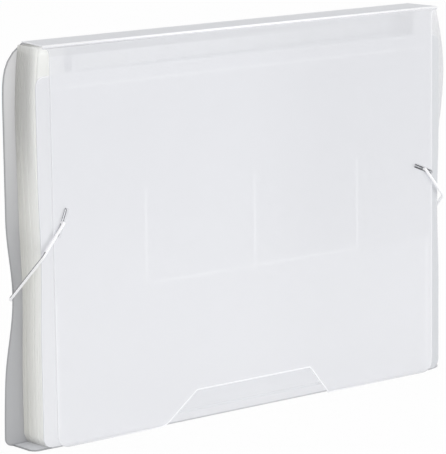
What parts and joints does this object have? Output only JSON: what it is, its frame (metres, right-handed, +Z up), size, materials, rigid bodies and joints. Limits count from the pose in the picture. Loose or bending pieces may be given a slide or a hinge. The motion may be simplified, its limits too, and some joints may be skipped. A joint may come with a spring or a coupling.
{
  "type": "expanding file",
  "caption": "Upright expanding file: a clear cover with a fold-over flap and elastic closure, pleated sides and tabbed dividers for loose papers.",
  "frame": {"origin": "middle of the closed file at the surface that it stands on", "axes": "+X to the right seen from the front flap, +Y from the flap to the back panel, +Z up"},
  "size_m": [0.3498, 0.0304, 0.2439],
  "materials": {
    "cover_sheet": "frosted translucent polypropylene sheet with a fine satin grain",
    "pleated_film": "milky translucent polypropylene film, folded",
    "divider_sheet": "frosted translucent polypropylene sheet, thin",
    "clear_film": "clear glossy polypropylene film with welded edges",
    "label_paper": "plain uncoated paper",
    "elastic": "white braided round elastic",
    "barb_metal": "rolled plated steel strip"
  },
  "bodies": {
    "root": {"back_panel": "cover_sheet", "bottom_panel": "cover_sheet", "left_gusset": "pleated_film", "right_gusset": "pleated_film", "bottom_gusset": "pleated_film"},
    "spine": {"spine_panel": "cover_sheet"},
    "flap": {"front_flap": "cover_sheet", "left_barb": "barb_metal", "right_barb": "barb_metal", "elastic_cord": "elastic"},
    "front": {"front_board": "cover_sheet", "card_pocket": "clear_film", "document_pocket": "clear_film"},
    "leaf_01": {"divider_01": "divider_sheet", "tab_sleeve_01": "clear_film", "tab_label_01": "label_paper"},
    "leaf_02": {"divider_02": "divider_sheet", "tab_sleeve_02": "clear_film", "tab_label_02": "label_paper"},
    "leaf_03": {"divider_03": "divider_sheet", "tab_sleeve_03": "clear_film", "tab_label_03": "label_paper"},
    "leaf_04": {"divider_04": "divider_sheet", "tab_sleeve_04": "clear_film", "tab_label_04": "label_paper"},
    "leaf_05": {"divider_05": "divider_sheet", "tab_sleeve_05": "clear_film", "tab_label_05": "label_paper"},
    "leaf_06": {"divider_06": "divider_sheet", "tab_sleeve_06": "clear_film", "tab_label_06": "label_paper"},
    "leaf_07": {"divider_07": "divider_sheet", "tab_sleeve_07": "clear_film", "tab_label_07": "label_paper"},
    "leaf_08": {"divider_08": "divider_sheet", "tab_sleeve_08": "clear_film", "tab_label_08": "label_paper"},
    "leaf_09": {"divider_09": "divider_sheet", "tab_sleeve_09": "clear_film", "tab_label_09": "label_paper"},
    "leaf_10": {"divider_10": "divider_sheet", "tab_sleeve_10": "clear_film", "tab_label_10": "label_paper"},
    "leaf_11": {"divider_11": "divider_sheet", "tab_sleeve_11": "clear_film", "tab_label_11": "label_paper"},
    "leaf_12": {"divider_12": "divider_sheet", "tab_sleeve_12": "clear_film", "tab_label_12": "label_paper"}
  },
  "joints": [
    {"name": "cover_open", "type": "hinge", "parent": "root", "child": "spine", "pos_m": [0, 0.0126, 0.2435], "axis": [-1, 0, 0], "range_deg": [0, 180], "deforming": ["elastic_cord"]},
    {"name": "flap_hinge", "type": "hinge", "parent": "spine", "child": "flap", "pos_m": [0, -0.0126, 0.243], "axis": [-1, 0, 0], "range_deg": [0, 180]},
    {"name": "front_fan", "type": "hinge", "parent": "root", "child": "front", "pos_m": [0, -0.01, 0.0004], "axis": [1, 0, 0], "range_deg": [0, 30], "deforming": ["left_gusset", "right_gusset", "bottom_gusset"]},
    {"name": "leaf_fan_01", "type": "hinge", "parent": "root", "child": "leaf_01", "pos_m": [0, -0.01, 0.0004], "axis": [1, 0, 0], "range_deg": [0, 29.5]},
    {"name": "leaf_fan_02", "type": "hinge", "parent": "root", "child": "leaf_02", "pos_m": [0, -0.01, 0.0004], "axis": [1, 0, 0], "range_deg": [0, 28.1]},
    {"name": "leaf_fan_03", "type": "hinge", "parent": "root", "child": "leaf_03", "pos_m": [0, -0.01, 0.0004], "axis": [1, 0, 0], "range_deg": [0, 25.95]},
    {"name": "leaf_fan_04", "type": "hinge", "parent": "root", "child": "leaf_04", "pos_m": [0, -0.01, 0.0004], "axis": [1, 0, 0], "range_deg": [0, 23.24]},
    {"name": "leaf_fan_05", "type": "hinge", "parent": "root", "child": "leaf_05", "pos_m": [0, -0.01, 0.0004], "axis": [1, 0, 0], "range_deg": [0, 20.11]},
    {"name": "leaf_fan_06", "type": "hinge", "parent": "root", "child": "leaf_06", "pos_m": [0, -0.01, 0.0004], "axis": [1, 0, 0], "range_deg": [0, 16.74]},
    {"name": "leaf_fan_07", "type": "hinge", "parent": "root", "child": "leaf_07", "pos_m": [0, -0.01, 0.0004], "axis": [1, 0, 0], "range_deg": [0, 13.28]},
    {"name": "leaf_fan_08", "type": "hinge", "parent": "root", "child": "leaf_08", "pos_m": [0, -0.01, 0.0004], "axis": [1, 0, 0], "range_deg": [0, 9.91]},
    {"name": "leaf_fan_09", "type": "hinge", "parent": "root", "child": "leaf_09", "pos_m": [0, -0.01, 0.0004], "axis": [1, 0, 0], "range_deg": [0, 6.78]},
    {"name": "leaf_fan_10", "type": "hinge", "parent": "root", "child": "leaf_10", "pos_m": [0, -0.01, 0.0004], "axis": [1, 0, 0], "range_deg": [0, 4.07]},
    {"name": "leaf_fan_11", "type": "hinge", "parent": "root", "child": "leaf_11", "pos_m": [0, -0.01, 0.0004], "axis": [1, 0, 0], "range_deg": [0, 1.92]},
    {"name": "leaf_fan_12", "type": "hinge", "parent": "root", "child": "leaf_12", "pos_m": [0, -0.01, 0.0004], "axis": [1, 0, 0], "range_deg": [0, 0.52]}
  ],
  "couplings": [
    {"joint": "flap_hinge", "follows": "cover_open", "ratio": 1},
    {"joint": "front_fan", "follows": "cover_open", "ratio": 0.16667},
    {"joint": "leaf_fan_01", "follows": "cover_open", "ratio": 0.16386},
    {"joint": "leaf_fan_02", "follows": "cover_open", "ratio": 0.15605},
    {"joint": "leaf_fan_03", "follows": "cover_open", "ratio": 0.14414},
    {"joint": "leaf_fan_04", "follows": "cover_open", "ratio": 0.12904},
    {"joint": "leaf_fan_05", "follows": "cover_open", "ratio": 0.11167},
    {"joint": "leaf_fan_06", "follows": "cover_open", "ratio": 0.09293},
    {"joint": "leaf_fan_07", "follows": "cover_open", "ratio": 0.073737},
    {"joint": "leaf_fan_08", "follows": "cover_open", "ratio": 0.054999},
    {"joint": "leaf_fan_09", "follows": "cover_open", "ratio": 0.037627},
    {"joint": "leaf_fan_10", "follows": "cover_open", "ratio": 0.022531},
    {"joint": "leaf_fan_11", "follows": "cover_open", "ratio": 0.010621},
    {"joint": "leaf_fan_12", "follows": "cover_open", "ratio": 0.002807}
  ]
}
